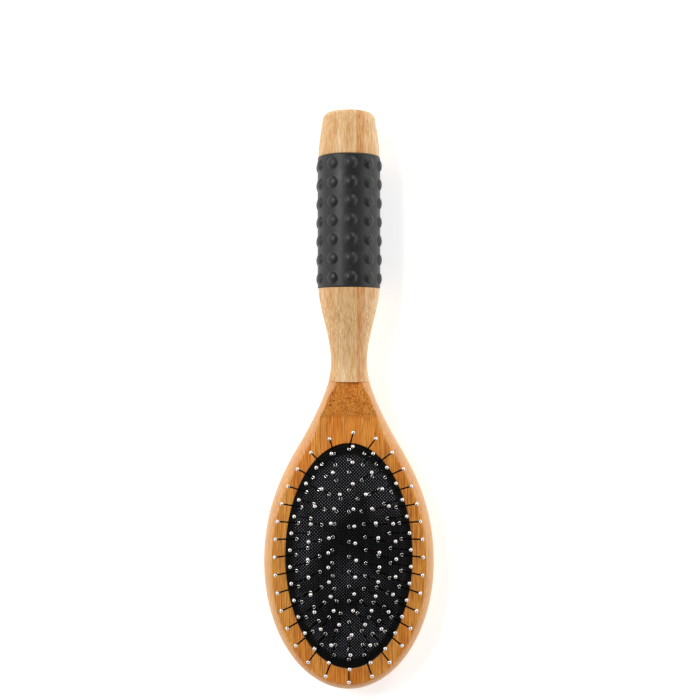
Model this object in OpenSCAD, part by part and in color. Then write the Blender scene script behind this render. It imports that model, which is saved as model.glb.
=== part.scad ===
// Pin brush for pets: bamboo head and turned handle, nubbed rubber grip,
// and a domed air cushion that carries a row and four ovals of ball-tipped steel pins.
// The brush lies on its back. +Z is the way the pins point, and +Y runs towards
// the end of the handle. The origin is under the middle of the brush, on the
// surface that it rests on. All lengths are in millimetres.

/* [Head] */
// Overall length of the brush
brush_length = 220; // [212:1:230]
// Width of the head at its widest place
head_width = 65.3; // [62:0.1:70]
// Thickness of the head, from its flat back to its flat face
head_thick = 16; // [15:0.5:18]
// Length of the rounded end, from the widest place to the tip
end_length = 48.4; // [46:0.1:54]
// Width of the moulded edge before the face is cut flat
edge_width = 5.5; // [4.5:0.1:6.5]

/* [Handle] */
// Diameter of the wood next to the grip
handle_d = 23.3; // [22.4:0.1:24]
// Diameter near the end of the handle
end_d = 20.2; // [18:0.1:21.5]
// Diameter of the neck at its slimmest place
neck_d = 13.7; // [12.5:0.1:15]
// Diameter where the handle meets the head
seam_d = 15.7; // [15:0.1:16.5]
// Length of the bare wood behind the grip
cap_length = 17; // [14:0.5:20]
// Length of the hidden dowel that joins handle and head
dowel_length = 26; // [18:1:28]
// Diameter of the dowel
dowel_d = 6; // [4:0.5:7]

/* [Grip] */
// Length of the rubber grip
grip_length = 49.7; // [44:0.1:54]
// Outer diameter of the grip between its nubs
grip_d = 23.8; // [23.4:0.1:25]
// Thickness of the rubber
grip_wall = 1.7; // [1.2:0.1:2.5]
// Diameter of a nub where it rises from the grip
nub_d = 4.5; // [3:0.1:5]
// Height of a nub
nub_height = 0.85; // [0.5:0.05:1.2]
// Rows of nubs along the grip
nub_rows = 7; // [5:1:7]
// Nubs around the grip
nub_columns = 10; // [8:1:10]

/* [Cushion] */
// Width of the cushion at the face of the head
cushion_width = 47.8; // [47:0.1:50]
// Length of the cushion at the face of the head
cushion_length = 85; // [84:0.5:87]
// Height of the dome above the face
dome_height = 6.5; // [5.5:0.1:7.5]
// Thickness of the rubber
rubber_thick = 1.2; // [0.8:0.1:1.4]
// Thickness of the woven facing
fabric_thick = 0.4; // [0.3:0.05:0.5]
// Depth of the ledge that the cushion's skirt stands on
ledge_depth = 3.4; // [3:0.1:4]
// Depth of the air space below the face
pocket_depth = 10; // [9:0.5:11]

/* [Pins] */
// Length of a pin above the cushion
pin_length = 17.5; // [15:0.5:19]
// Diameter of the wire
wire_d = 0.6; // [0.5:0.05:0.8]
// Diameter of the ball tip
ball_d = 1.4; // [1.2:0.05:1.7]
// Diameter of the collar that sits on the cushion
collar_d = 1.45; // [1.2:0.05:1.8]
// Diameter of the flat head inside the cushion
pin_head_d = 2; // [1.8:0.05:2.4]
// How far the tips of the side pins lean outwards
side_fan = 7.5; // [4:0.1:8.5]
// How far the tips of the end pins lean outwards
end_fan = 6; // [3:0.1:7.5]
// How far the tips of the middle pins lean to +X
lean_x = 2.7; // [0:0.1:3]
// How far the tips of the pins nearest the handle lean to +X
lean_end = 1.6; // [0:0.1:2]
// How far the tips of all pins lean towards the handle
lean_y = 1.8; // [0:0.1:2]

/* [Hidden] */

// Places along the brush
tip_y = -brush_length / 2;
end_y = brush_length / 2;
wide_y = tip_y + end_length;
seam_y = 7.8;
neck_y = 15;
grip_top_y = end_y - cap_length;
grip_low_y = grip_top_y - grip_length;
// The handle's axis lies so high that its lowest nubs just touch the resting surface
axis_z = grip_d / 2 + nub_height;

// Head
half_width = head_width / 2;
flare = [18.3, -15];                 // where the outline changes from hollow to round
mid_z = head_thick / 2;              // height of the widest line of the head's edge
edge_rise = 0.6;                     // height cut away when the face is made flat
back_cut = 0.05;                     // height cut away when the back is made flat
blend_y = -12;                       // where the round neck has become the flat head
scoop_y = -5.5;                      // where the scoop runs out into the face
scoop_drop = 1.6;                    // height of the step at the seam
square_y = 1.5;                      // where the round neck has gained its moulded edge
neck_edge = 4.5;                     // width of that edge
curve_steps = 12;
end_steps = 16;
edge_steps = 7;

// Dowel
dowel_z = axis_z - 1;
dowel_gap = 0.02;

// Cushion
cushion_y = -58;
cushion_r = cushion_width / 2;
stretch = cushion_length / cushion_width;
dome_r = (cushion_r * cushion_r + dome_height * dome_height) / (2 * dome_height);
dome_z = head_thick + dome_height - dome_r;
ledge_z = head_thick - ledge_depth;
skirt_thick = fabric_thick + rubber_thick + 0.02;
seat_gap = 0.1;
bond_gap = 0.02;

// Pins: half-widths, half-lengths and numbers of pins of the ovals, from the inside out
pins_y = -57.1;
first_oval = [6.2, 24.6, 22];
second_oval = [10.9, 31.1, 24];
third_oval = [15.4, 35.6, 30];
outer_oval = [19.65, 39.4, 32];
row_count = 7;
row_pitch = 5.53;
collar_gap = 0.2;
pin_head_gap = 0.3;
collar_height = 0.5;
pin_head_height = 0.5;
hole_gap = 0.1;
side_split = sin(45);                // pins nearer the middle than this share belong to the sides

// ---- curves ----------------------------------------------------------------

// Point on a cubic curve with four control points
function curve(p, t) =
    p[0] * pow(1 - t, 3) + p[1] * 3 * t * pow(1 - t, 2)
    + p[2] * 3 * t * t * (1 - t) + p[3] * pow(t, 3);
function curve_points(p, steps) = [for (i = [0 : steps]) curve(p, i / steps)];
function mix(a, b, t) = a * (1 - t) + b * t;
function ease(t) = let (s = max(0, min(1, t))) s * s * (3 - 2 * s);
function tail(list) = [for (i = [1 : len(list) - 1]) list[i]];

// ---- head ------------------------------------------------------------------

// Right half of the outline: from the seam, round the widest place, to the tip
neck_flare = [[seam_d / 2, seam_y], [9.2, 2.5], [13.2, -6.2], flare];
shoulder = [flare, [27.45, -30], [half_width, wide_y + 18.5], [half_width, wide_y]];
round_end = [
    for (i = [1 : end_steps])
        let (a = 90 * i / end_steps)
        [half_width * cos(a), wide_y - end_length * sin(a)]
];
outline = concat(
    curve_points(neck_flare, curve_steps),
    tail(curve_points(shoulder, curve_steps)),
    round_end
);
last = len(outline) - 1;

// How far the section at y has changed from the round neck to the flat head
function change(y) = ease((seam_y - y) / (seam_y - blend_y));

// Direction from an outline point into the wood, straight across the brush at the seam
function inward(i) =
    let (
        along = outline[min(i + 1, last)] - outline[max(i - 1, 0)],
        side = i == last ? [0, 1] : [along[1], -along[0]],
        turned = [side[0], side[1] * change(outline[i][1])]
    )
    turned / norm(turned);

// One rib of the edge: from the top of the wood, round the widest line, to the back
function rib(i, mirrored) =
    let (
        p = outline[i],
        t = change(p[1]),
        moulded = mix(p[0] - 0.15, neck_edge, ease((seam_y - p[1]) / (seam_y - square_y))),
        inset = mix(moulded, edge_width, i == last ? 1 : t),
        middle = mix(axis_z, mid_z, t),
        up = mix(seam_d / 2, mid_z + edge_rise, t),
        down = mix(seam_d / 2, mid_z + back_cut, t),
        n = inward(i)
    )
    [
        for (j = [0 : 2 * edge_steps])
            let (
                a = 90 * (1 - j / edge_steps),
                q = p + n * inset * (1 - cos(a))
            )
            [mirrored ? -q[0] : q[0], q[1], middle + (a > 0 ? up : down) * sin(a)]
    ];

// The head's outer shape: ribs along the right edge, round the tip and back up the left
module head_blank() {
    size = 2 * edge_steps + 1;
    count = 2 * last + 1;
    points = [
        for (i = [0 : last]) each rib(i, false),
        for (i = [last - 1 : -1 : 0]) each rib(i, true)
    ];
    edge = [
        for (i = [0 : count - 2], j = [0 : size - 2])
            [i * size + j, i * size + j + 1, (i + 1) * size + j + 1, (i + 1) * size + j]
    ];
    top = [
        for (i = [0 : last - 1])
            let (right = i * size, left = (count - 1 - i) * size)
            i == last - 1 ? [right, right + size, left]
                          : [right, right + size, left - size, left]
    ];
    back = [
        for (i = [0 : last - 1])
            let (right = i * size + size - 1, left = (count - 1 - i) * size + size - 1)
            i == last - 1 ? [left, right + size, right]
                          : [left, left - size, right + size, right]
    ];
    neck_end = [concat(
        [for (j = [size - 1 : -1 : 0]) j],
        [for (j = [0 : size - 1]) (count - 1) * size + j]
    )];
    polyhedron(points, concat(edge, top, back, neck_end), convexity = 6);
}

// Everything above the flat face and the scoop that runs from it up to the neck
module face_cut() {
    scoop = curve_points([
        [seam_y, axis_z + seam_d / 2 - scoop_drop], [3, 18.8], [-2, head_thick + 1.6],
        [scoop_y, head_thick]
    ], curve_steps);
    above = 2 * head_thick;
    rotate([90, 0, 90])
        translate([0, 0, -head_width])
        linear_extrude(2 * head_width)
        polygon(concat(
            [[seam_y + 1, above], [seam_y + 1, scoop[0][1]]], scoop,
            [[tip_y - 1, head_thick], [tip_y - 1, above]]
        ));
}

// An upright oval block, inset from the edge of the cushion
module oval(inset, low, high) {
    a = cushion_r - inset;
    translate([0, cushion_y, low])
        linear_extrude(high - low)
        scale([1, (cushion_length / 2 - inset) / a])
        circle(a, $fn = 96);
}

module dowel_bore() {
    translate([0, seam_y, dowel_z])
        rotate([-90, 0, 0])
        cylinder(d = dowel_d + 2 * dowel_gap, h = dowel_length + 0.4, center = true, $fn = 48);
}

module head() {
    color("#c98a4b")
    difference() {
        head_blank();
        face_cut();
        translate([-head_width, tip_y - 1, -1])
            cube([2 * head_width, brush_length, 1]);
        oval(-seat_gap, ledge_z, head_thick + 1);
        oval(skirt_thick, head_thick - pocket_depth, head_thick);
        dowel_bore();
    }
}

// ---- handle ----------------------------------------------------------------

// Half of the turned outline, as radius and place along the brush
module handle_outline() {
    seat_r = grip_d / 2 - grip_wall;
    corner = 3;
    waist = curve_points([
        [seam_d / 2, seam_y], [neck_d / 2 + 0.35, neck_y - 4], [neck_d / 2, neck_y - 2],
        [neck_d / 2, neck_y]
    ], 6);
    swell = tail(curve_points([
        [neck_d / 2, neck_y], [neck_d / 2, neck_y + 10], [handle_d / 2 - 0.35, grip_low_y - 8.8],
        [handle_d / 2, grip_low_y]
    ], 16));
    cap = curve_points([
        [handle_d / 2, grip_top_y], [handle_d / 2 - 0.1, grip_top_y + 5],
        [end_d / 2 + 0.5, end_y - corner - 3], [end_d / 2, end_y - corner]
    ], 8);
    round_over = [
        for (a = [10 : 10 : 90])
            [end_d / 2 - corner + corner * cos(a), end_y - corner + corner * sin(a)]
    ];
    polygon(concat(
        [[0, seam_y]], waist, swell,
        [[seat_r, grip_low_y], [seat_r, grip_top_y]],
        cap, round_over, [[0, end_y]]
    ));
}

module handle() {
    color("#dcae74")
    difference() {
        translate([0, 0, axis_z])
            rotate([-90, 0, 0])
            rotate_extrude($fn = 96)
            handle_outline();
        dowel_bore();
    }
}

module neck_dowel() {
    color("#e3c79a")
    translate([0, seam_y, dowel_z])
        rotate([-90, 0, 0])
        cylinder(d = dowel_d, h = dowel_length, center = true, $fn = 48);
}

// ---- grip ------------------------------------------------------------------

module grip_sleeve() {
    ball_r = (nub_d * nub_d / 4 + nub_height * nub_height) / (2 * nub_height);
    ball_at = grip_d / 2 + nub_height - ball_r;
    turn = 4;
    row_pitch_y = grip_length / nub_rows;
    color("#3b3d42")
    translate([0, grip_low_y, axis_z])
    rotate([-90, 0, 0])
    difference() {
        union() {
            cylinder(d = grip_d, h = grip_length, $fn = 96);
            for (row = [0 : nub_rows - 1], column = [0 : nub_columns - 1])
                rotate([0, 0, 90 + turn + column * 360 / nub_columns])
                    translate([ball_at, 0, (row + 0.5) * row_pitch_y])
                    sphere(ball_r, $fn = 48);
        }
        translate([0, 0, -1])
            cylinder(r = grip_d / 2 - grip_wall + bond_gap, h = grip_length + 2, $fn = 96);
    }
}

// ---- cushion ---------------------------------------------------------------

// Half-width, height and stretch towards +Y of points along one domed surface, which lies
// inset below the outer surface of the cushion
function dome_line(inset) =
    let (steps = 12, a = cushion_r - inset, b = cushion_length / 2 - inset, r = dome_r - inset)
    [for (i = [0 : steps]) let (x = a * i / steps) [x, dome_z + sqrt(r * r - x * x), b / a]];

function backwards(list) = [for (i = [len(list) - 1 : -1 : 0]) list[i]];

// A domed skin with upright skirts: a half outline (under the dome, round the skirt, over
// the top) that is swept round the oval
module skin(inset, thick) {
    under = dome_line(inset + thick);
    over = backwards(dome_line(inset));
    low_in = under[len(under) - 1];
    low_out = over[0];
    half = concat(
        under, [[low_in[0], ledge_z, low_in[2]], [low_out[0], ledge_z, low_out[2]]], over
    );
    sectors = 60;
    rings = len(half) - 2;
    points = [
        [0, cushion_y, half[0][1]],
        for (k = [1 : rings], i = [0 : sectors - 1])
            let (a = 360 * i / sectors, r = half[k][0])
            [r * cos(a), cushion_y + half[k][2] * r * sin(a), half[k][1]],
        [0, cushion_y, half[rings + 1][1]]
    ];
    top = rings * sectors + 1;
    faces = [
        for (i = [0 : sectors - 1])
            let (j = (i + 1) % sectors)
            each [[0, 1 + i, 1 + j], [top, top - sectors + j, top - sectors + i]],
        for (k = [0 : rings - 2], i = [0 : sectors - 1])
            let (j = (i + 1) % sectors, low = 1 + k * sectors, high = low + sectors)
            [low + i, high + i, high + j, low + j]
    ];
    polyhedron(points, faces, convexity = 6);
}

// Clearance for every pin, each along its own pin
module pin_holes() {
    for (group = all_pins, p = group)
        on_pin(p)
            translate([0, 0, -4])
            cylinder(d = wire_d + 2 * hole_gap, h = 6, $fn = 24);
}

module cushion_rubber() {
    color("#17181a")
    difference() {
        skin(fabric_thick + bond_gap, rubber_thick);
        pin_holes();
    }
}

module cushion_fabric() {
    color("#232427")
    difference() {
        skin(0, fabric_thick);
        pin_holes();
    }
}

// ---- pins ------------------------------------------------------------------

// Height of the facing's outer surface
function dome_top(x, y) =
    let (v = (y - cushion_y) / stretch)
    dome_z + sqrt(dome_r * dome_r - x * x - v * v);

// Places round an oval at equal steps along its edge, starting at the handle's side
function even_oval(o) =
    let (
        steps = 180,
        at = [for (i = [0 : steps]) let (a = 360 * i / steps) [o[0] * sin(a), o[1] * cos(a)]],
        run = [
            for (i = 0, s = 0; i <= steps; s = s + (i < steps ? norm(at[i + 1] - at[i]) : 0), i = i + 1)
                [s, 360 * i / steps]
        ]
    )
    [
        for (k = [0 : o[2] - 1])
            let (a = lookup(run[steps][0] * k / o[2], run))
            [o[0] * sin(a), o[1] * cos(a)]
    ];
function oval_sides(o) = [for (p = even_oval(o)) if (abs(p[1]) < o[1] * side_split) p];
function oval_ends(o) = [for (p = even_oval(o)) if (abs(p[1]) >= o[1] * side_split) p];

centre_row = [for (i = [0 : row_count - 1]) [0, (i - (row_count - 1) / 2) * row_pitch]];
all_pins = [
    centre_row,
    oval_sides(first_oval), oval_ends(first_oval),
    oval_sides(second_oval), oval_ends(second_oval),
    oval_sides(third_oval), oval_ends(third_oval),
    oval_sides(outer_oval), oval_ends(outer_oval)
];

// How far the tip of the pin at p lies from its foot, seen from above
function tip_offset(p) =
    let (
        u = p[0] / outer_oval[0],
        v = p[1] / outer_oval[1],
        reach = min(1, norm([u, v]))
    )
    [
        side_fan * (1.35 * u - 0.35 * pow(u, 3)) + lean_x * (1 - reach)
            + lean_end * pow(max(0, v), 3),
        end_fan * (0.62 * v + 0.38 * pow(v, 5)) + lean_y
    ];

// Puts its children at a pin's foot, with +Z along the pin
module on_pin(p) {
    lean = tip_offset(p);
    y = pins_y + p[1];
    translate([p[0], y, dome_top(p[0], y)])
        rotate([0, asin(norm(lean) / pin_length), atan2(lean[1], lean[0])])
        children();
}

// Half of a pin's outline: flat head, wire, collar, wire and ball tip
module pin_outline() {
    wire_r = wire_d / 2;
    ball_r = ball_d / 2;
    head_top = -(skirt_thick + pin_head_gap);
    ball_z = pin_length - ball_r;
    start = asin(wire_r / ball_r);
    ball = [
        for (i = [0 : 10])
            let (a = start + (180 - start) * i / 10)
            [ball_r * sin(a), ball_z - ball_r * cos(a)]
    ];
    polygon(concat(
        [
            [0, head_top - pin_head_height], [pin_head_d / 2, head_top - pin_head_height],
            [pin_head_d / 2, head_top], [wire_r, head_top],
            [wire_r, collar_gap], [collar_d / 2, collar_gap],
            [collar_d / 2, collar_gap + collar_height], [wire_r, collar_gap + collar_height]
        ],
        ball
    ));
}

module pins(places) {
    color("#b9bcc0")
    for (p = places)
        on_pin(p)
            rotate_extrude($fn = 24)
            pin_outline();
}

module pins_centre_row() pins(all_pins[0]);
module pins_first_oval_sides() pins(all_pins[1]);
module pins_first_oval_ends() pins(all_pins[2]);
module pins_second_oval_sides() pins(all_pins[3]);
module pins_second_oval_ends() pins(all_pins[4]);
module pins_third_oval_sides() pins(all_pins[5]);
module pins_third_oval_ends() pins(all_pins[6]);
module pins_outer_oval_sides() pins(all_pins[7]);
module pins_outer_oval_ends() pins(all_pins[8]);

head();
handle();
neck_dowel();
grip_sleeve();
cushion_rubber();
cushion_fabric();
pins_centre_row();
pins_first_oval_sides();
pins_first_oval_ends();
pins_second_oval_sides();
pins_second_oval_ends();
pins_third_oval_sides();
pins_third_oval_ends();
pins_outer_oval_sides();
pins_outer_oval_ends();
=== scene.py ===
"""Looks of the pin brush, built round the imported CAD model: bamboo head and handle, nubbed
rubber grip, woven cushion and ball-tipped steel pins. Lengths below are in millimetres."""

import math

import bmesh
import bpy
from mathutils import Matrix, Vector


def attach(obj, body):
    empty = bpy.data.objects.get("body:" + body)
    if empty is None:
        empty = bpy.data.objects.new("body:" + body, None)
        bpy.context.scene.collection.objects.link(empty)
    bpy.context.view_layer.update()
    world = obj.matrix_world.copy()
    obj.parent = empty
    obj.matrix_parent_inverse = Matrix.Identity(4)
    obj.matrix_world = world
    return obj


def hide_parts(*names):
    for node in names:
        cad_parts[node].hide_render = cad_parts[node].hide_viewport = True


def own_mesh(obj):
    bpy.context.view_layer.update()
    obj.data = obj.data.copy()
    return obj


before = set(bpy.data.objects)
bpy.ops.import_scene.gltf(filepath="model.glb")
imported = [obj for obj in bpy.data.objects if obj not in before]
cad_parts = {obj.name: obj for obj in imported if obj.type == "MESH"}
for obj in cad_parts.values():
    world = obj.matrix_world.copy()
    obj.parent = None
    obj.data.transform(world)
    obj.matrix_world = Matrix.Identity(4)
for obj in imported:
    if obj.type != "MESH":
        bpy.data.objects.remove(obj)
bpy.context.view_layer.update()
MM = 0.001
TAU = 2 * math.pi
QUARTER = TAU / 4

# ---- sizes shared with the CAD model -----------------------------------------

TIP_Y, END_Y, WIDE_Y = -110.0, 110.0, -61.6
SEAM_Y, NECK_Y = 7.8, 15.0
GRIP_LOW_Y, GRIP_TOP_Y = 43.3, 93.0
GRIP_R, GRIP_WALL, NUB_R, NUB_HEIGHT = 11.9, 1.7, 2.25, 0.85
NUB_ROWS, NUB_COLUMNS, NUB_TURN = 7, 10, 4.0
AXIS_Z = GRIP_R + NUB_HEIGHT
HALF_WIDTH, END_LENGTH, HEAD_THICK, EDGE_WIDTH = 32.65, 48.4, 16.0, 5.5
MID_Z, EDGE_RISE, BACK_CUT, BLEND_Y = 8.0, 0.6, 0.05, -12.0
SEAM_R, NECK_R, HANDLE_R, END_R = 7.85, 6.85, 11.65, 10.1
FLARE = (18.3, -15.0)
SCOOP = [(SEAM_Y, AXIS_Z + SEAM_R - 1.6), (3.0, 18.8), (-2.0, 17.6), (-5.5, 16.0)]
SQUARE_Y, NECK_EDGE = 1.5, 4.5
RIDGE_ROUND = 0.35
RIDGE_STEPS = [0.75, 0.45, 0.28, 0.14, 0.0, -0.14, -0.28, -0.45]
BEVEL_DEPTH, HEAD_BEVEL, HANDLE_BEVEL = 0.16, 0.14, 0.12
CUSHION_Y, CUSHION_A, CUSHION_B, DOME_HEIGHT = -58.0, 23.9, 42.5, 6.5
DOME_R = (CUSHION_A**2 + DOME_HEIGHT**2) / (2 * DOME_HEIGHT)
DOME_Z = HEAD_THICK + DOME_HEIGHT - DOME_R
FABRIC, RUBBER, LEDGE_Z, POCKET_Z, SKIRT = 0.4, 1.2, 12.6, 6.0, 1.62
POCKET_GAP, POCKET_LIP, THIN_GAP = 0.1, 0.3, 0.02
ROLL_START, ROLL_DROP, ROLL_POWER = 0.95, 0.9, 2.6
DIMPLE_R, DIMPLE_DEPTH, FOOT_CELL = 2.4, 0.16, 4
PINS_Y, PIN_LENGTH, WIRE_R, BALL_R = -57.1, 17.5, 0.3, 0.7
CENTRE_PINS, CENTRE_PITCH = 7, 5.53
OVALS = {
    "first": (6.2, 24.6, 22),
    "second": (10.9, 31.1, 24),
    "third": (15.4, 35.6, 30),
    "outer": (19.65, 39.4, 32),
}
# how far the pins' tips lean: outwards at the outer oval, where the fan levels off to the sides and
# steepens to the ends, then to one side in the middle, towards the handle everywhere, and to the
# side once more at the handle's end
SIDE_FAN, SIDE_EVEN, SIDE_LATE = 7.5, 1.35, 0.35
END_FAN, END_EVEN, END_LATE = 6.0, 0.62, 0.38
LEAN_RIGHT, LEAN_HANDLE, LEAN_END = 2.7, 1.8, 1.6


def mix(a, b, t):
    return a * (1 - t) + b * t


def ease(t):
    t = max(0.0, min(1.0, t))
    return t * t * (3 - 2 * t)


def soft_min(a, b, k):
    """The smaller of a and b, rounded off where they are closer than k."""
    h = max(k - abs(a - b), 0.0) / k
    return min(a, b) - h * h * k / 4


def last_place(holds, low, high):
    """The place between low and high up to which holds is true, found by halving."""
    for _ in range(30):
        middle = (low + high) / 2
        if holds(middle):
            low = middle
        else:
            high = middle
    return (low + high) / 2


def bezier(p, t):
    q = 1 - t
    return tuple(
        p[0][i] * q**3 + p[1][i] * 3 * t * q * q + p[2][i] * 3 * t * t * q + p[3][i] * t**3
        for i in range(2)
    )


def bezier_points(p, steps):
    return [bezier(p, i / steps) for i in range(steps + 1)]


# ---- making pieces -----------------------------------------------------------


def piece(name, points, faces, body, materials, replaces, sharp, kinds=None):
    """A mesh piece from points in millimetres, in the row frame. Edges over sharp degrees stay
    crisp, and kinds gives each face's material number."""
    mesh = bpy.data.meshes.new(name)
    mesh.from_pydata([(x * MM, y * MM, z * MM) for x, y, z in points], [], faces)
    mesh.update()
    for material in materials:
        mesh.materials.append(material)
    if kinds:
        mesh.polygons.foreach_set("material_index", kinds)
    # every face turned to look out of the piece
    turned = bmesh.new()
    turned.from_mesh(mesh)
    bmesh.ops.recalc_face_normals(turned, faces=turned.faces[:])
    turned.to_mesh(mesh)
    turned.free()
    mesh.shade_smooth()
    mesh.set_sharp_from_angle(angle=math.radians(sharp))
    made = bpy.data.objects.new(name, mesh)
    bpy.context.scene.collection.objects.link(made)
    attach(made, body)
    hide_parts(replaces)
    return made


def ring_faces(rings, size, closed=True, start=0):
    """Quads between rings of size points each, numbered from start."""
    count = size if closed else size - 1
    return [
        (
            start + k * size + i,
            start + k * size + (i + 1) % size,
            start + (k + 1) * size + (i + 1) % size,
            start + (k + 1) * size + i,
        )
        for k in range(rings - 1)
        for i in range(count)
    ]


def band(a, b):
    """Quads between two closed loops of point numbers."""
    size = len(a)
    return [(a[i], a[(i + 1) % size], b[(i + 1) % size], b[i]) for i in range(size)]


def around(r, y, angle):
    """The point at radius r and an angle round the handle's axis."""
    return (r * math.sin(angle), y, AXIS_Z + r * math.cos(angle))


# ---- head --------------------------------------------------------------------


def outline_points():
    """Half of the head's outline, from the seam along the side to the far tip."""
    flare = bezier_points([(SEAM_R, SEAM_Y), (9.2, 2.5), (13.2, -6.2), FLARE], 36)
    shoulder = bezier_points(
        [FLARE, (27.45, -30.0), (HALF_WIDTH, WIDE_Y + 18.5), (HALF_WIDTH, WIDE_Y)], 36
    )
    steps = 48
    angles = [QUARTER * i / steps for i in range(1, steps + 1)]
    end = [(HALF_WIDTH * math.cos(a), WIDE_Y - END_LENGTH * math.sin(a)) for a in angles]
    end[-1] = (0.0, TIP_Y)
    return flare + shoulder[1:] + end


def face_height(y):
    """Height of the flat face and of the scoop that runs up to the neck."""
    if y <= SCOOP[3][0]:
        return HEAD_THICK
    return bezier(SCOOP, last_place(lambda t: bezier(SCOOP, t)[0] > y, 0.0, 1.0))[1]


def head_rib(outline, i):
    """One rib of the edge, from the face over the rounded ridge and round to the back."""
    last = len(outline) - 1
    x, y = outline[i]
    t = ease((SEAM_Y - y) / (SEAM_Y - BLEND_Y))
    a, b = outline[max(i - 1, 0)], outline[min(i + 1, last)]
    side = (0.0, 1.0) if i == last else (b[1] - a[1], -(b[0] - a[0]) * t)
    size = math.hypot(*side)
    n = (side[0] / size, side[1] / size)
    # at the neck the edge takes up nearly the whole half-width
    middle_gap = 0.15
    moulded = mix(x - middle_gap, NECK_EDGE, ease((SEAM_Y - y) / (SEAM_Y - SQUARE_Y)))
    inset = mix(moulded, EDGE_WIDTH, 1 if i == last else t)
    middle = mix(AXIS_Z, MID_Z, t)
    up = mix(SEAM_R, MID_Z + EDGE_RISE, t)
    down = mix(SEAM_R, MID_Z + BACK_CUT, t)

    def at(s, rise, top):
        share = min(1.0, max(0.0, 1 - s / inset))
        z = middle + rise * math.sqrt(max(0.0, 1 - share * share))
        px, py = x + n[0] * s, y + n[1] * s
        if top:
            z = soft_min(z, face_height(py), RIDGE_ROUND)
        return (px, py, max(z, 0.0))

    def below_face(s):
        share = 1 - s / inset
        return middle + up * math.sqrt(max(0.0, 1 - share * share)) < face_height(y + n[1] * s)

    ridge = last_place(below_face, 0.0, inset)
    near = min(ridge, inset - ridge) * 0.9
    rib = [at(ridge + min(d, near), up, True) for d in RIDGE_STEPS]
    # from there out to the side, and on round to the back
    reach = -RIDGE_STEPS[-1]
    top = math.acos(1 - (ridge - reach) / inset) if ridge > reach else 0.3
    over, under = 13, 12
    rib += [at(inset * (1 - math.cos(top * (1 - k / over))), up, True) for k in range(1, over + 1)]
    rib += [
        at(inset * (1 - math.cos(QUARTER * k / under)), -down, False) for k in range(1, under + 1)
    ]
    return rib


def make_head(material):
    outline = outline_points()
    last = len(outline) - 1
    right = [head_rib(outline, i) for i in range(last + 1)]
    # a narrow bevel at the seam, so that the joint shows as a fine groove
    lip = []
    for x, y, z in right[0]:
        r = math.hypot(x, z - AXIS_Z)
        shrink = 1 - BEVEL_DEPTH / r
        lip.append((x * shrink, SEAM_Y, AXIS_Z + (z - AXIS_Z) * shrink))
    right[0] = [(x, y - HEAD_BEVEL, z) for x, y, z in right[0]]
    right.insert(0, lip)
    left = [[(-x, y, z) for x, y, z in rib] for rib in right]
    ribs = right + left[-2::-1]
    size = len(ribs[0])
    points = [p for rib in ribs for p in rib]
    faces = ring_faces(len(ribs), size, closed=False)
    # back: strips across from one side to the other
    count = len(ribs)
    for i in range(count // 2):
        a, b = i * size + size - 1, (i + 1) * size + size - 1
        c, d = (count - 2 - i) * size + size - 1, (count - 1 - i) * size + size - 1
        faces.append((a, d, c, b) if i < count // 2 - 1 else (a, d, b))
    # face: rings from the ridge in to the opening of the cushion's pocket
    edge = [i * size for i in range(count)]
    across = 8
    first, end = Vector(points[edge[0]]), Vector(points[edge[-1]])
    for k in range(1, across):
        edge.append(len(points))
        points.append(tuple(end.lerp(first, k / across)))
    neck_end = list(range(size))
    neck_end += [(count - 1) * size + i for i in range(size - 1, -1, -1)]
    neck_end += edge[count:]
    faces.append(tuple(neck_end))
    a, b = CUSHION_A + POCKET_GAP, CUSHION_B + POCKET_GAP
    rings, fade = 34, 6  # the ridge's own rounding fades out in the first few rings
    previous = edge
    angles = [math.atan2(points[e][0] / a, (points[e][1] - CUSHION_Y) / b) for e in edge]
    for k in range(1, rings + 1):
        t = k / rings
        made = []
        for e, angle in zip(edge, angles):
            x = mix(points[e][0], (a + POCKET_LIP) * math.sin(angle), t)
            y = mix(points[e][1], CUSHION_Y + (b + POCKET_LIP) * math.cos(angle), t)
            made.append(len(points))
            fixed = points[e][2] - face_height(points[e][1])
            points.append((x, y, face_height(y) + fixed * (1 - t) ** fade))
        faces += band(previous, made)
        previous = made
    # pocket: rounded lip, wall, ledge for the skirt, wall and floor
    steps = 4
    section = [
        (POCKET_LIP * (1 - math.sin(turn)), HEAD_THICK - POCKET_LIP * (1 - math.cos(turn)))
        for turn in (QUARTER * k / steps for k in range(1, steps + 1))
    ]
    well = -SKIRT - POCKET_GAP
    section += [(0.0, LEDGE_Z), (well, LEDGE_Z), (well, POCKET_Z)]
    for out, z in section:
        made = []
        for angle in angles:
            made.append(len(points))
            points.append(((a + out) * math.sin(angle), CUSHION_Y + (b + out) * math.cos(angle), z))
        faces += band(previous, made)
        previous = made
    faces.append(tuple(previous))
    return piece("head_wood", points, faces, "root", [material], "head", sharp=40)


# ---- handle ------------------------------------------------------------------


def lathe(name, outline, sectors, material, replaces):
    """Turned piece round the handle's axis, from (radius, place along the brush) points."""
    points = [around(r, y, TAU * i / sectors) for r, y in outline for i in range(sectors)]
    faces = ring_faces(len(outline), sectors)
    faces.append(tuple(range(sectors - 1, -1, -1)))
    faces.append(tuple(range((len(outline) - 1) * sectors, len(outline) * sectors)))
    return piece(name, points, faces, "root", [material], replaces, sharp=40)


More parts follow.
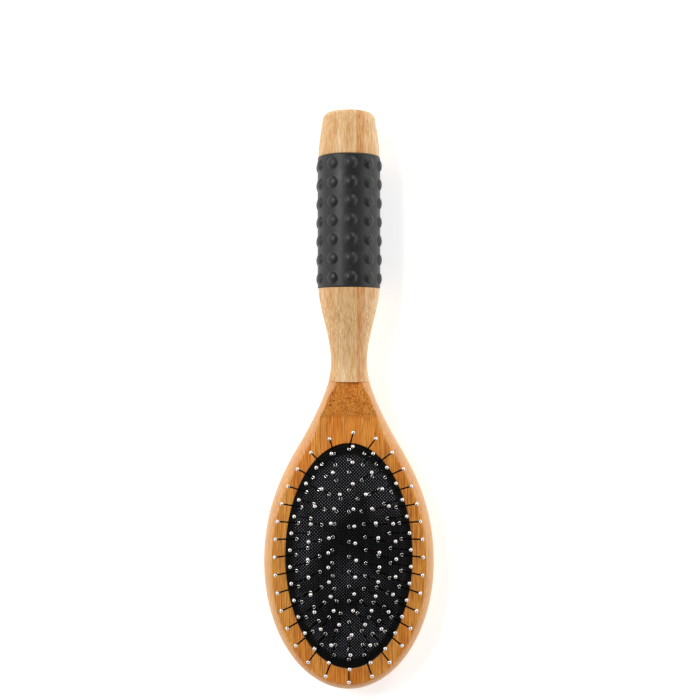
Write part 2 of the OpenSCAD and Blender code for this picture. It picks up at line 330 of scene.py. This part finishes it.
def make_handle(material):
    seat = GRIP_R - GRIP_WALL
    round_over, round_steps = 0.3, 4
    corner, corner_steps = 3.0, 12
    neck = [(SEAM_R, SEAM_Y), (NECK_R + 0.35, NECK_Y - 4), (NECK_R, NECK_Y - 2), (NECK_R, NECK_Y)]
    swell = [
        (NECK_R, NECK_Y), (NECK_R, NECK_Y + 10), (HANDLE_R - 0.35, GRIP_LOW_Y - 8.8),
        (HANDLE_R, GRIP_LOW_Y),
    ]
    cap = [
        (HANDLE_R, GRIP_TOP_Y), (HANDLE_R - 0.1, GRIP_TOP_Y + 5),
        (END_R + 0.5, END_Y - corner - 3), (END_R, END_Y - corner),
    ]
    # both shoulders beside the grip: radius and distance from the grip's end
    shoulder = [
        (HANDLE_R - round_over * (1 - math.cos(a)), round_over * (1 - math.sin(a)))
        for a in (QUARTER * k / round_steps for k in range(round_steps + 1))
    ]
    outline = [(SEAM_R - BEVEL_DEPTH, SEAM_Y), (SEAM_R, SEAM_Y + HANDLE_BEVEL)]
    outline += bezier_points(neck, 14)[1:]
    outline += bezier_points(swell, 32)[1:-1]
    outline += [(r, GRIP_LOW_Y - off) for r, off in shoulder]
    outline += [(seat, GRIP_LOW_Y), (seat, GRIP_TOP_Y)]
    outline += [(r, GRIP_TOP_Y + off) for r, off in shoulder[::-1]]
    outline += bezier_points(cap, 14)[1:]
    for k in range(1, corner_steps + 1):
        a = QUARTER * k / corner_steps
        outline.append(
            (END_R - corner + corner * math.cos(a), END_Y - corner + corner * math.sin(a))
        )
    return lathe("handle_wood", outline, 128, material, "handle")


# ---- grip --------------------------------------------------------------------


def nub_rise(x):
    """Height of a nub at x, the share of its radius."""
    bluntness = 0.62
    return NUB_HEIGHT * (1 - x * x) ** bluntness if x < 1 else 0.0


def make_grip(material):
    sectors, rows = 300, 196
    lip, lip_depth, lip_steps = 0.45, 0.8, 5
    inner = GRIP_R - GRIP_WALL + THIN_GAP
    length = GRIP_TOP_Y - GRIP_LOW_Y
    pitch, turn_pitch = length / NUB_ROWS, 360 / NUB_COLUMNS
    heights = [lip * (1 - math.cos(QUARTER * k / lip_steps)) for k in range(lip_steps + 1)]
    places = heights + [mix(lip, length - lip, k / rows) for k in range(1, rows)]
    places += [length - h for h in heights[::-1]]
    points = []
    for y in places:
        edge = min(min(y, length - y), lip)
        sunk = lip * (1 - math.sqrt(max(0.0, 1 - (1 - edge / lip) ** 2))) * lip_depth
        row = min(NUB_ROWS - 1, int(y / pitch))
        along = y - (row + 0.5) * pitch
        for i in range(sectors):
            turn = i * 360 / sectors - NUB_TURN
            off = (turn + turn_pitch / 2) % turn_pitch - turn_pitch / 2
            rise = nub_rise(math.hypot(along, math.radians(off) * GRIP_R) / NUB_R)
            points.append(around(GRIP_R - sunk + rise, GRIP_LOW_Y + y, TAU * i / sectors))
    count = len(places)
    for y in (GRIP_TOP_Y, GRIP_LOW_Y):
        points += [around(inner, y, TAU * i / sectors) for i in range(sectors)]
    faces = ring_faces(count + 2, sectors)
    low = (count + 1) * sectors
    faces += band(range(low, low + sectors), range(sectors))
    return piece(
        "grip_rubber_sleeve", points, faces, "root", [material], "grip_sleeve",
        sharp=50,
    )


# ---- pins --------------------------------------------------------------------


def even_oval(half_width, half_length, count):
    """Places round an oval at equal steps along its edge, starting at the handle's side."""
    steps = 180

    def place(angle):
        return (half_width * math.sin(angle), half_length * math.cos(angle))

    at = [place(TAU * i / steps) for i in range(steps + 1)]
    run = [0.0]
    for a, b in zip(at, at[1:]):
        run.append(run[-1] + math.dist(a, b))
    found = []
    for k in range(count):
        goal = run[-1] * k / count
        i = next(j for j in range(steps) if run[j + 1] >= goal)
        found.append(place(TAU * (i + (goal - run[i]) / (run[i + 1] - run[i])) / steps))
    return found


def pin_groups():
    """For each body its node and the places of its pins, measured from the middle of the pins."""
    row = [(0.0, (i - CENTRE_PINS // 2) * CENTRE_PITCH) for i in range(CENTRE_PINS)]
    groups = {"centre_pins": ("pins_centre_row", row)}
    for name, (half_width, half_length, count) in OVALS.items():
        places = even_oval(half_width, half_length, count)
        split = half_length * math.sin(TAU / 8)
        sides = [p for p in places if abs(p[1]) < split]
        ends = [p for p in places if abs(p[1]) >= split]
        groups[f"{name}_oval_side_pins"] = (f"pins_{name}_oval_sides", sides)
        groups[f"{name}_oval_end_pins"] = (f"pins_{name}_oval_ends", ends)
    return groups


def dome_top(x, y):
    v = (y - CUSHION_Y) * CUSHION_A / CUSHION_B
    return DOME_Z + math.sqrt(max(0.0, DOME_R**2 - x * x - v * v))


def pin_matrix(p):
    """Stands a pin with its foot on the dome, leaning as the pins of the photo do there."""
    half_width, half_length, _ = OVALS["outer"]
    u, v = p[0] / half_width, p[1] / half_length
    reach = min(1.0, math.hypot(u, v))
    lean = (
        SIDE_FAN * (SIDE_EVEN * u - SIDE_LATE * u**3)
        + LEAN_RIGHT * (1 - reach)
        + LEAN_END * max(0.0, v) ** 3,
        END_FAN * (END_EVEN * v + END_LATE * v**5) + LEAN_HANDLE,
    )
    y = PINS_Y + p[1]
    foot = Vector((p[0], y, dome_top(p[0], y)))
    tilt = math.asin(math.hypot(*lean) / PIN_LENGTH)
    return (
        Matrix.Translation(foot)
        @ Matrix.Rotation(math.atan2(lean[1], lean[0]), 4, "Z")
        @ Matrix.Rotation(tilt, 4, "Y")
    )


def pin_outline():
    """(radius, height, material) from the inner head to the ball tip. Material 0 is wire, 1 is
    bright."""
    head_top, collar_top, ball_gap = -(SKIRT + 0.3), 0.58, 0.12
    outline = [
        (0.0, head_top - 0.5, 0), (0.9, head_top - 0.5, 0), (1.0, head_top - 0.4, 0),
        (1.0, head_top - 0.05, 0), (0.9, head_top, 0), (WIRE_R, head_top, 0),
        (WIRE_R, 0.2, 0),
        (0.62, 0.2, 1), (0.7, 0.28, 1), (0.725, 0.42, 1), (0.68, 0.56, 1), (0.58, 0.66, 1),
        (0.46, 0.7, 1), (0.37, 0.66, 1), (WIRE_R, collar_top, 1),
    ]
    centre = PIN_LENGTH - BALL_R
    start = math.asin(WIRE_R / BALL_R)
    wire_top = centre - BALL_R * math.cos(start) - ball_gap
    outline += [(WIRE_R, mix(collar_top, wire_top, k / 4), 0) for k in range(1, 5)]
    steps = 11
    for k in range(steps + 1):
        a = start + (TAU / 2 - start) * k / steps
        outline.append((BALL_R * math.sin(a), centre - BALL_R * math.cos(a), 1))
    return outline


def make_pins(wire, bright):
    outline = pin_outline()
    sectors = 18
    for body, (node, places) in pin_groups().items():
        points, faces, kinds = [], [], []
        for p in places:
            matrix = pin_matrix(p)
            low = len(points)
            points.append(tuple(matrix @ Vector((0, 0, outline[0][1]))))
            inner = outline[1:-1]
            for r, z, _ in inner:
                for i in range(sectors):
                    a = TAU * i / sectors
                    points.append(tuple(matrix @ Vector((r * math.cos(a), r * math.sin(a), z))))
            points.append(tuple(matrix @ Vector((0, 0, outline[-1][1]))))
            faces += [(low, low + 1 + (i + 1) % sectors, low + 1 + i) for i in range(sectors)]
            kinds += [0] * sectors
            faces += ring_faces(len(inner), sectors, start=low + 1)
            for k in range(1, len(inner)):
                kinds += [inner[k][2]] * sectors
            top = len(points) - 1
            first = top - sectors
            faces += [(first + i, first + (i + 1) % sectors, top) for i in range(sectors)]
            kinds += [1] * sectors
        piece(
            node + "_steel", points, faces, body, [wire, bright], node, sharp=60,
            kinds=kinds,
        )


# ---- cushion -----------------------------------------------------------------


def cushion_height(share, angle, inset, feet):
    """A point of the cushion's surface at a share of its half-width, with a rolled edge and a
    dimple at each pin."""
    a, b = CUSHION_A - inset, CUSHION_B - inset
    x, y = a * share * math.sin(angle), b * share * math.cos(angle)
    r = DOME_R - inset
    z = DOME_Z + math.sqrt(r * r - (a * share) ** 2)
    if share > ROLL_START:
        t = (share - ROLL_START) / (1 - ROLL_START)
        base = DOME_Z + math.sqrt(r * r - (a * ROLL_START) ** 2)
        rim = HEAD_THICK - ROLL_DROP - inset
        fuller = rim + (base - rim) * math.sqrt(max(0.0, 1 - t**ROLL_POWER))
        z = mix(z, fuller, ease(t * 3))
    for fx, fy in feet.get((round(x / FOOT_CELL), round(y / FOOT_CELL)), ()):
        d = math.hypot(x - fx, y - fy)
        if d < DIMPLE_R:
            z -= DIMPLE_DEPTH * (1 - d / DIMPLE_R) ** 2
    return x, y, z


def make_cushion(name, node, material, inset, thick, sectors, rings):
    """One skin of the cushion: the dome, its skirt down to the ledge, and the same inside."""
    # the feet of the pins, listed under their own cell and the eight round it
    feet = {}
    for _, places in pin_groups().values():
        for x, y in places:
            y = y + PINS_Y - CUSHION_Y
            column, row = round(x / FOOT_CELL), round(y / FOOT_CELL)
            for i in range(-1, 2):
                for j in range(-1, 2):
                    feet.setdefault((column + i, row + j), []).append((x, y))
    # rings at even steps over the middle, bunched towards the rim
    shares = [
        min(1.0, math.sin(QUARTER * k / rings) if k > rings * 0.5
            else k / rings * math.sin(TAU / 8) * 2)
        for k in range(1, rings + 1)
    ]
    sides = [
        [[cushion_height(share, TAU * i / sectors, depth, feet) for i in range(sectors)]
         for share in shares]
        for depth in (inset, inset + thick)
    ]
    points = [(0.0, CUSHION_Y, cushion_height(0, 0, inset, feet)[2])]
    for ring in sides[0]:
        points += [(x, CUSHION_Y + y, z) for x, y, z in ring]
    for depth in (inset, inset + thick):
        a, b = CUSHION_A - depth, CUSHION_B - depth
        points += [
            (a * math.sin(TAU * i / sectors), CUSHION_Y + b * math.cos(TAU * i / sectors), LEDGE_Z)
            for i in range(sectors)
        ]
    for ring in sides[1][::-1]:
        points += [(x, CUSHION_Y + y, z) for x, y, z in ring]
    points.append((0.0, CUSHION_Y, cushion_height(0, 0, inset + thick, feet)[2]))
    total = 2 * rings + 2
    faces = [(0, 1 + (i + 1) % sectors, 1 + i) for i in range(sectors)]
    faces += [f[::-1] for f in ring_faces(total, sectors, start=1)]
    end = len(points) - 1
    faces += [(end, end - sectors + i, end - sectors + (i + 1) % sectors) for i in range(sectors)]
    made = piece(name, points, faces, "root", [material], node, sharp=60)
    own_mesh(made)
    return made


# ---- materials ---------------------------------------------------------------


def srgb(r, g, b):
    """Linear colour from 0 to 255 display values."""
    shown = [c / 255 for c in (r, g, b)]
    linear = [c / 12.92 if c <= 0.04045 else ((c + 0.055) / 1.055) ** 2.4 for c in shown]
    return (*linear, 1.0)


class Graph:
    """Builds one material's nodes. Places are in millimetres in the row frame."""

    def __init__(self, name, **shader):
        self.material = bpy.data.materials.new(name)
        self.material.use_nodes = True
        self.tree = self.material.node_tree
        self.shader = self.tree.nodes["Principled BSDF"]
        for key, value in shader.items():
            self.shader.inputs[key.replace("_", " ")].default_value = value
        source = self.tree.nodes.new("ShaderNodeTexCoord")
        self.normal = source.outputs["Normal"]
        self.place = self.vector("SCALE", source.outputs["Object"], scale=1000)
        parts = self.node("ShaderNodeSeparateXYZ", Vector=self.place)
        self.x, self.y, self.z = parts.outputs

    def node(self, kind, settings=None, **inputs):
        made = self.tree.nodes.new(kind)
        for key, value in (settings or {}).items():
            setattr(made, key, value)
        for key, value in inputs.items():
            self.feed(made.inputs[key.replace("_", " ")], value)
        return made

    def feed(self, socket, value):
        if isinstance(value, bpy.types.NodeSocket):
            self.tree.links.new(value, socket)
        else:
            socket.default_value = value

    def vector(self, operation, a, b=None, scale=None):
        made = self.node("ShaderNodeVectorMath", {"operation": operation})
        self.feed(made.inputs[0], a)
        if b is not None:
            self.feed(made.inputs[1], b)
        if scale is not None:
            self.feed(made.inputs["Scale"], scale)
        return made.outputs["Vector"]

    def math(self, operation, a, b=0.0, c=0.0):
        made = self.node("ShaderNodeMath", {"operation": operation})
        for socket, value in zip(made.inputs, (a, b, c)):
            self.feed(socket, value)
        return made.outputs[0]

    def combine(self, x, y, z):
        return self.node("ShaderNodeCombineXYZ", X=x, Y=y, Z=z).outputs[0]

    def noise(self, place, detail=2.0, roughness=0.5):
        return self.node(
            "ShaderNodeTexNoise", Vector=place, Scale=1.0, Detail=detail, Roughness=roughness
        ).outputs["Fac"]

    def wander(self, x, y, z, offset=0.0):
        """Soft noise centred on nought."""
        return self.math("SUBTRACT", self.noise(self.stretched(x, y, z, offset)), 0.5)

    def times(self, first, *others):
        for other in others:
            first = self.math("MULTIPLY", first, other)
        return first

    def dots(self, x, y, scale):
        """Distance to the nearest of points strewn over the plane."""
        return self.node(
            "ShaderNodeTexVoronoi", {"voronoi_dimensions": "2D"}, Vector=self.combine(x, y, 0.0),
            Scale=scale, Randomness=1.0,
        ).outputs["Distance"]

    def stretched(self, x, y, z, offset=0.0):
        """The place with each direction scaled, for noise that runs along the grain."""
        moved = self.vector("MULTIPLY", self.place, (x, y, z))
        return self.vector("ADD", moved, (offset, offset * 0.7, offset * 1.3)) if offset else moved

    def ramp(self, value, *stops):
        made = self.node("ShaderNodeValToRGB", Fac=value)
        ramp = made.color_ramp
        while len(ramp.elements) < len(stops):
            ramp.elements.new(1.0)
        for element, (at, colour) in zip(ramp.elements, stops):
            element.position = at
            grey = (colour, colour, colour, 1.0)
            element.color = colour if isinstance(colour, tuple) else grey
        return made.outputs["Color"]

    def between(self, value, low, high, to_low=0.0, to_high=1.0, smooth=True):
        kind = "SMOOTHSTEP" if smooth else "LINEAR"
        return self.node(
            "ShaderNodeMapRange", {"interpolation_type": kind}, Value=value, From_Min=low,
            From_Max=high, To_Min=to_low, To_Max=to_high,
        ).outputs[0]

    def blend(self, share, a, b):
        made = self.node("ShaderNodeMix", {"data_type": "RGBA"})
        self.feed(made.inputs[0], share)
        self.feed(made.inputs[6], a)
        self.feed(made.inputs[7], b)
        return made.outputs[2]

    def bump(self, height, strength, distance):
        made = self.node("ShaderNodeBump", Height=height, Strength=strength, Distance=distance)
        return made.outputs["Normal"]

    def finish(self, colour, roughness=None, normal=None):
        for key, value in (("Base Color", colour), ("Roughness", roughness), ("Normal", normal)):
            if value is not None:
                self.feed(self.shader.inputs[key], value)
        return self.material


def bamboo(
    name, light, middle, dark, fibre, strips, fibres_shown, bands, band_reach, dive,
    knuckle=None, edge_sheen=None,
):
    """Laminated bamboo: strips side by side, with bundles of fibres that run along the brush.
    The bundles are thin rods in depth, so they show as lines on flat wood and as dots where it is
    cut across. bands lists tones from -band_reach to band_reach; knuckle is the place of a
    joint of the cane; dive is how far the fibres rise and fall on their way; the last one is the
    paler colour of the rounded edges: painted sheen, the bright surroundings' reflection there."""
    g = Graph(name, Coat_Weight=0.16, Coat_Roughness=0.14, Specular_IOR_Level=0.3)
    sway = g.wander(0.09, 0.022, 0.09)
    x = g.math("MULTIPLY_ADD", sway, 2.0, g.x)
    z = g.math("MULTIPLY_ADD", g.wander(0.5, 0.045, 0.5, 9), dive, g.z)
    if knuckle is not None:
        # the fibres swirl and dive at a joint of the cane
        reach = g.noise(g.stretched(0.3, 0.0, 0.3, 31))
        off = g.math("ABSOLUTE", g.math("SUBTRACT", g.y, knuckle))
        near = g.between(g.math("MULTIPLY_ADD", reach, -3.0, off), 2.5, 5.5, 1.0, 0.0)
        swirl = g.wander(0.42, 0.34, 0.42, 4)
        x = g.math("MULTIPLY_ADD", g.times(swirl, near), 5.5, x)
        z = g.math("MULTIPLY_ADD", g.times(g.wander(0.33, 0.45, 0.33, 17), near), 9.0, z)
    # strips side by side in layers, each with a tone of its own and a dark glue line
    strip_start, layer_depth, layer_start, layer_shift = 0.37, 7.0, 0.2, 0.45
    cell = g.math("DIVIDE", g.math("MULTIPLY_ADD", sway, 0.5, g.x), strips)
    layer = g.math("FLOOR", g.math("ADD", g.math("DIVIDE", g.z, layer_depth), layer_start))
    placed = g.math("MULTIPLY_ADD", layer, layer_shift, g.math("ADD", cell, strip_start))
    tone = g.node(
        "ShaderNodeTexWhiteNoise", {"noise_dimensions": "2D"},
        Vector=g.combine(g.math("FLOOR", placed), layer, 0.0),
    ).outputs["Value"]
    middle_off = g.math("ABSOLUTE", g.math("SUBTRACT", g.math("FRACT", placed), 0.5))
    joint = g.between(middle_off, 0.486, 0.5)
    # bundles of fibres, and fine grain between them
    rods = g.dots(g.math("ADD", x, g.times(tone, 37.0)), g.times(z, 1.15), 1.9)
    weight = g.between(g.noise(g.stretched(0.8, 0.05, 0.8, 21), detail=3), 0.3, 0.6)
    fibres = g.times(g.between(rods, 0.1, 0.42, 1.0, 0.0), weight)
    grain = g.vector("MULTIPLY", g.combine(x, g.y, z), (3.4, 0.085, 1.3))
    fine = g.noise(grain, detail=4, roughness=0.68)
    # tone of the wood: from strip to strip, in broad clouds, and from the listed bands
    broad = g.math("MULTIPLY_ADD", g.noise(g.stretched(0.3, 0.03, 0.3, 13)), 0.7, 0.15)
    base = g.math("MULTIPLY_ADD", g.math("SUBTRACT", tone, 0.5), 0.4, broad)
    # the listed bands; on the handle they also hold painted shade, a darker left side against the
    # key light
    by_hand = g.ramp(g.between(x, -band_reach, band_reach, smooth=False), *bands)
    base = g.math("SUBTRACT", g.math("ADD", base, by_hand), 0.5)
    colour = g.ramp(base, (0.1, dark), (0.5, middle), (0.9, light))
    darker = g.blend(0.6, colour, g.blend(0.35, dark, fibre))
    colour = g.blend(g.between(fine, 0.38, 0.62), darker, g.blend(0.42, colour, light))
    colour = g.blend(g.times(fibres, fibres_shown), colour, fibre)
    if knuckle is not None:
        # dark blots, slanting dashes and pale flecks round the joint of the cane
        clouds = g.noise(g.stretched(0.5, 0.22, 0.5, 41), detail=3, roughness=0.6)
        blot = g.between(clouds, 0.4, 0.62)
        slant = g.math("MULTIPLY_ADD", g.y, 0.45, g.math("MULTIPLY_ADD", swirl, 7.0, g.x))
        dash = g.between(g.dots(slant, g.times(g.y, 0.42), 1.5), 0.12, 0.4, 1.0, 0.0)
        dash = g.times(dash, g.math("MULTIPLY_ADD", blot, 0.6, 0.4))
        colour = g.blend(g.times(near, blot, 0.3), colour, dark)
        colour = g.blend(g.times(near, dash, 0.95), colour, fibre)
        flecks = g.noise(g.stretched(2.3, 1.5, 2.3, 57), detail=3, roughness=0.7)
        colour = g.blend(g.times(near, g.between(flecks, 0.5, 0.62), 0.8), colour, light)
    colour = g.blend(g.times(joint, 0.4), colour, fibre)
    if edge_sheen is not None:
        # painted sheen on the rounded edges: the sides all along, but the rounding endways only on
        # the far half of the head
        far_half_y = -20.0
        turned = g.node("ShaderNodeSeparateXYZ", Vector=g.normal).outputs
        side = g.math("ABSOLUTE", turned[0])
        tip = g.times(g.math("ABSOLUTE", turned[1]), g.math("LESS_THAN", g.y, far_half_y))
        ragged = g.math("SUBTRACT", fine, 0.5)
        edge = g.math("MULTIPLY_ADD", ragged, 0.3, g.math("MAXIMUM", side, tip))
        sheen_colour = g.blend(g.between(fine, 0.3, 0.7, 0.0, 0.45), edge_sheen, light)
        colour = g.blend(g.between(edge, 0.1, 1.0, 0.0, 0.74), colour, sheen_colour)
    roughness = g.between(fine, 0.2, 0.8, 0.42, 0.56)
    height = g.math("MULTIPLY_ADD", fibres, -0.7, g.times(fine, 0.8))
    normal = g.bump(height, 0.3, 0.00008)
    g.feed(g.shader.inputs["Coat Normal"], normal)
    return g.finish(colour, roughness, normal)


def rubber_grip():
    g = Graph("grip_rubber", Specular_IOR_Level=0.38)
    clouds = g.noise(g.stretched(0.16, 0.16, 0.16), detail=3)
    speck = g.noise(g.stretched(3.2, 3.2, 3.2, 5), detail=3, roughness=0.6)
    colour = g.ramp(clouds, (0.3, srgb(31, 31, 32)), (0.7, srgb(43, 43, 44)))
    colour = g.blend(g.between(speck, 0.35, 0.7, 0.0, 0.6), colour, srgb(24, 24, 25))
    roughness = g.between(clouds, 0.3, 0.7, 0.36, 0.47)
    return g.finish(colour, roughness, g.bump(speck, 0.35, 0.00006))


def woven():
    """Plain weave of black thread: over and under in turn, with a painted highlight on each crown
    and painted shade in the gaps between the threads.
    Towards the rim the cloth is stretched smooth, and the fading crown highlights paint the rim
    darker, as painted shade."""
    g = Graph("cushion_weave", Specular_IOR_Level=0.12)
    pitch = 0.6
    wobble = g.wander(0.3, 0.3, 0.3)
    u = g.math("DIVIDE", g.math("MULTIPLY_ADD", wobble, 0.6, g.x), pitch)
    v = g.math("DIVIDE", g.math("MULTIPLY_ADD", wobble, 0.6, g.y), pitch)
    across = g.math("ABSOLUTE", g.math("SINE", g.times(u, math.pi)))
    along = g.math("ABSOLUTE", g.math("SINE", g.times(v, math.pi)))
    over = g.math("FLOORED_MODULO", g.math("ADD", g.math("FLOOR", u), g.math("FLOOR", v)), 2.0)
    under = g.math("SUBTRACT", 1.0, over)
    crown = g.math("MULTIPLY_ADD", g.times(across, along), 0.5, g.times(across, 0.5))
    height = g.math("ADD", g.times(crown, over), g.times(along, 0.5, under))
    hair = g.noise(g.stretched(7.0, 7.0, 7.0, 2))
    height = g.math("MULTIPLY_ADD", g.math("SUBTRACT", hair, 0.5), 0.3, height)
    off = g.vector("ADD", g.place, (0.0, -CUSHION_Y, 0.0))
    ellipse = g.vector("MULTIPLY", off, (1 / CUSHION_A, 1 / CUSHION_B, 0.0))
    share = g.node("ShaderNodeVectorMath", {"operation": "LENGTH"}, Vector=ellipse).outputs["Value"]
    # the weave flattens towards the rim, and the painted crown highlights fade with it, so the rim
    # is painted darker: painted shade
    height = g.times(height, g.between(share, 0.88, 0.95, 1.0, 0.3))
    # painted highlight on the thread crowns, stronger and weaker in broad clouds; the low gaps
    # between the threads get painted shade
    clouds = g.noise(g.stretched(0.07, 0.045, 0.07, 61), detail=3)
    painted_shine = g.times(height, g.between(clouds, 0.4, 0.62, 0.7, 1.02))
    gap_shade, thread, crown_highlight = srgb(1, 1, 1), srgb(12, 12, 13), srgb(136, 136, 146)
    colour = g.ramp(painted_shine, (0.3, gap_shade), (0.6, thread), (0.95, crown_highlight))
    roughness = g.between(height, 0.3, 1.0, 0.7, 0.4)
    return g.finish(colour, roughness, g.bump(height, 0.8, 0.0004))


def plain_rubber():
    g = Graph("cushion_rubber", Specular_IOR_Level=0.35)
    speck = g.noise(g.stretched(2.0, 2.0, 2.0), detail=3)
    colour = g.ramp(speck, (0.3, srgb(18, 18, 20)), (0.7, srgb(34, 34, 36)))
    return g.finish(colour, g.between(speck, 0.3, 0.7, 0.55, 0.7), g.bump(speck, 0.3, 0.00005))


def dowel_wood():
    g = Graph("dowel_beech", Specular_IOR_Level=0.3)
    grain = g.noise(g.stretched(2.5, 0.15, 2.5), detail=4)
    colour = g.ramp(grain, (0.3, srgb(186, 150, 108)), (0.7, srgb(222, 192, 150)))
    return g.finish(colour, g.between(grain, 0.3, 0.7, 0.6, 0.75), g.bump(grain, 0.3, 0.0001))


def steel(name, low, high, smooth, rough):
    g = Graph(name, Metallic=1.0)
    wear = g.noise(g.stretched(1.3, 1.3, 1.3), detail=3)
    colour = g.ramp(wear, (0.3, low), (0.7, high))
    fine = g.noise(g.stretched(9.0, 9.0, 2.0, 6), detail=2)
    return g.finish(colour, g.between(wear, 0.3, 0.7, smooth, rough), g.bump(fine, 0.08, 0.00002))


# ---- build -------------------------------------------------------------------

head_look = bamboo(
    "bamboo_head", srgb(252, 178, 78), srgb(230, 130, 32), srgb(200, 94, 14), srgb(122, 44, 4),
    strips=6.4, fibres_shown=0.6, band_reach=32.0, dive=2.4, knuckle=0.8,
    # pale tan edges: painted sheen, standing for the bright surroundings reflected in the rounded
    # edges
    edge_sheen=srgb(208, 172, 134),
    bands=[(0.0, 0.86), (0.2, 0.8), (0.36, 0.54), (0.64, 0.5), (0.8, 0.74), (1.0, 0.8)],
)
handle_look = bamboo(
    "bamboo_handle", srgb(240, 210, 160), srgb(226, 182, 120), srgb(200, 122, 44),
    srgb(164, 96, 36),
    strips=5.6, fibres_shown=0.3, band_reach=12.0, dive=0.4,
    # the strips' own tones, with the dark strip on the right, but the left side is set darker still
    # as painted shade, to hold back the key light that falls there
    bands=[
        (0.0, 0.4), (0.29, 0.48), (0.31, 0.76), (0.6, 0.66),
        (0.63, 0.04), (0.7, 0.16), (0.75, 0.3), (0.77, 0.66),
    ],
)
make_head(head_look)
make_handle(handle_look)
make_grip(rubber_grip())
weave = make_cushion(
    "cushion_facing", "cushion_fabric", woven(), 0.0, FABRIC,
    sectors=220, rings=72,
)
make_cushion(
    "cushion_membrane", "cushion_rubber", plain_rubber(), FABRIC + THIN_GAP,
    RUBBER, sectors=96, rings=28,
)
# the wire's steel is near black as a painted dark reflection, while the balls and collars of the
# same steel stay bright
make_pins(
    steel("pin_wire_painted_dark", srgb(44, 42, 42), srgb(66, 64, 64), 0.16, 0.26),
    steel("pin_bright", srgb(214, 212, 210), srgb(240, 239, 238), 0.12, 0.2),
)
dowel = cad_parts["neck_dowel"]
dowel.data.materials.clear()
dowel.data.materials.append(dowel_wood())

# ---- floor, light and camera -------------------------------------------------


def make_floor():
    bpy.ops.mesh.primitive_plane_add(size=6.0, location=(0, 0, -0.00005))
    floor = bpy.context.object
    floor.name = "floor"
    g = Graph(
        "floor_paper", Specular_IOR_Level=0.1, Roughness=0.9,
        Emission_Color=(1, 1, 1, 1), Emission_Strength=0.48,
    )
    tint = g.noise(g.stretched(0.004, 0.004, 0.004), detail=1)
    floor.data.materials.append(
        g.finish(g.ramp(tint, (0.3, srgb(244, 244, 244)), (0.7, srgb(248, 248, 248))))
    )


def softbox(name, direction, distance, size, power, tall=None):
    """An area light that looks at the middle of the brush, with sides of size and tall."""
    light = bpy.data.lights.new(name, "AREA")
    light.shape = "RECTANGLE"
    light.size, light.size_y = size, tall or size
    light.energy = power
    lamp = bpy.data.objects.new(name, light)
    way = Vector(direction).normalized()
    lamp.location = way * distance
    across = Vector((0, 1, 0)).cross(way).normalized()
    along = way.cross(across)
    lamp.rotation_mode = "QUATERNION"
    lamp.rotation_quaternion = Matrix((across, along, way)).transposed().to_quaternion()
    bpy.context.scene.collection.objects.link(lamp)


def make_world():
    """Soft surroundings: bright near the horizon, dimmer overhead."""
    world = bpy.data.worlds.new("studio")
    bpy.context.scene.world = world
    world.use_nodes = True
    nodes, links = world.node_tree.nodes, world.node_tree.links
    place = nodes.new("ShaderNodeTexCoord")
    parts = nodes.new("ShaderNodeSeparateXYZ")
    ramp = nodes.new("ShaderNodeValToRGB")
    links.new(place.outputs["Generated"], parts.inputs[0])
    links.new(parts.outputs["Z"], ramp.inputs["Fac"])
    ramp.color_ramp.elements[0].position = 0.1
    ramp.color_ramp.elements[0].color = (1.0, 1.0, 1.0, 1.0)
    ramp.color_ramp.elements[1].position = 0.8
    ramp.color_ramp.elements[1].color = (0.22, 0.22, 0.22, 1.0)
    links.new(ramp.outputs["Color"], nodes["Background"].inputs["Color"])
    nodes["Background"].inputs["Strength"].default_value = 0.8


make_floor()
make_world()
softbox("key", (-0.54, 0.34, 0.76), 0.9, 0.3, 3.6)
softbox("top", (0.42, 0.72, 0.5), 0.9, 0.2, 1.8)
softbox("left", (-0.9, 0.0, 0.34), 0.9, 0.4, 0.9, tall=0.9)
softbox("right", (0.9, 0.0, 0.34), 0.9, 0.4, 2.2, tall=0.9)

camera_data = bpy.data.cameras.new("camera")
camera_data.sensor_width = 36.0
camera_data.lens = 58.9
camera_data.clip_start, camera_data.clip_end = 0.01, 20.0
camera = bpy.data.objects.new("camera", camera_data)
bpy.context.scene.collection.objects.link(camera)
camera.location = (0.0004, 0.01985, 0.4488)
bpy.context.scene.camera = camera
bpy.context.scene.view_settings.view_transform = "Standard"
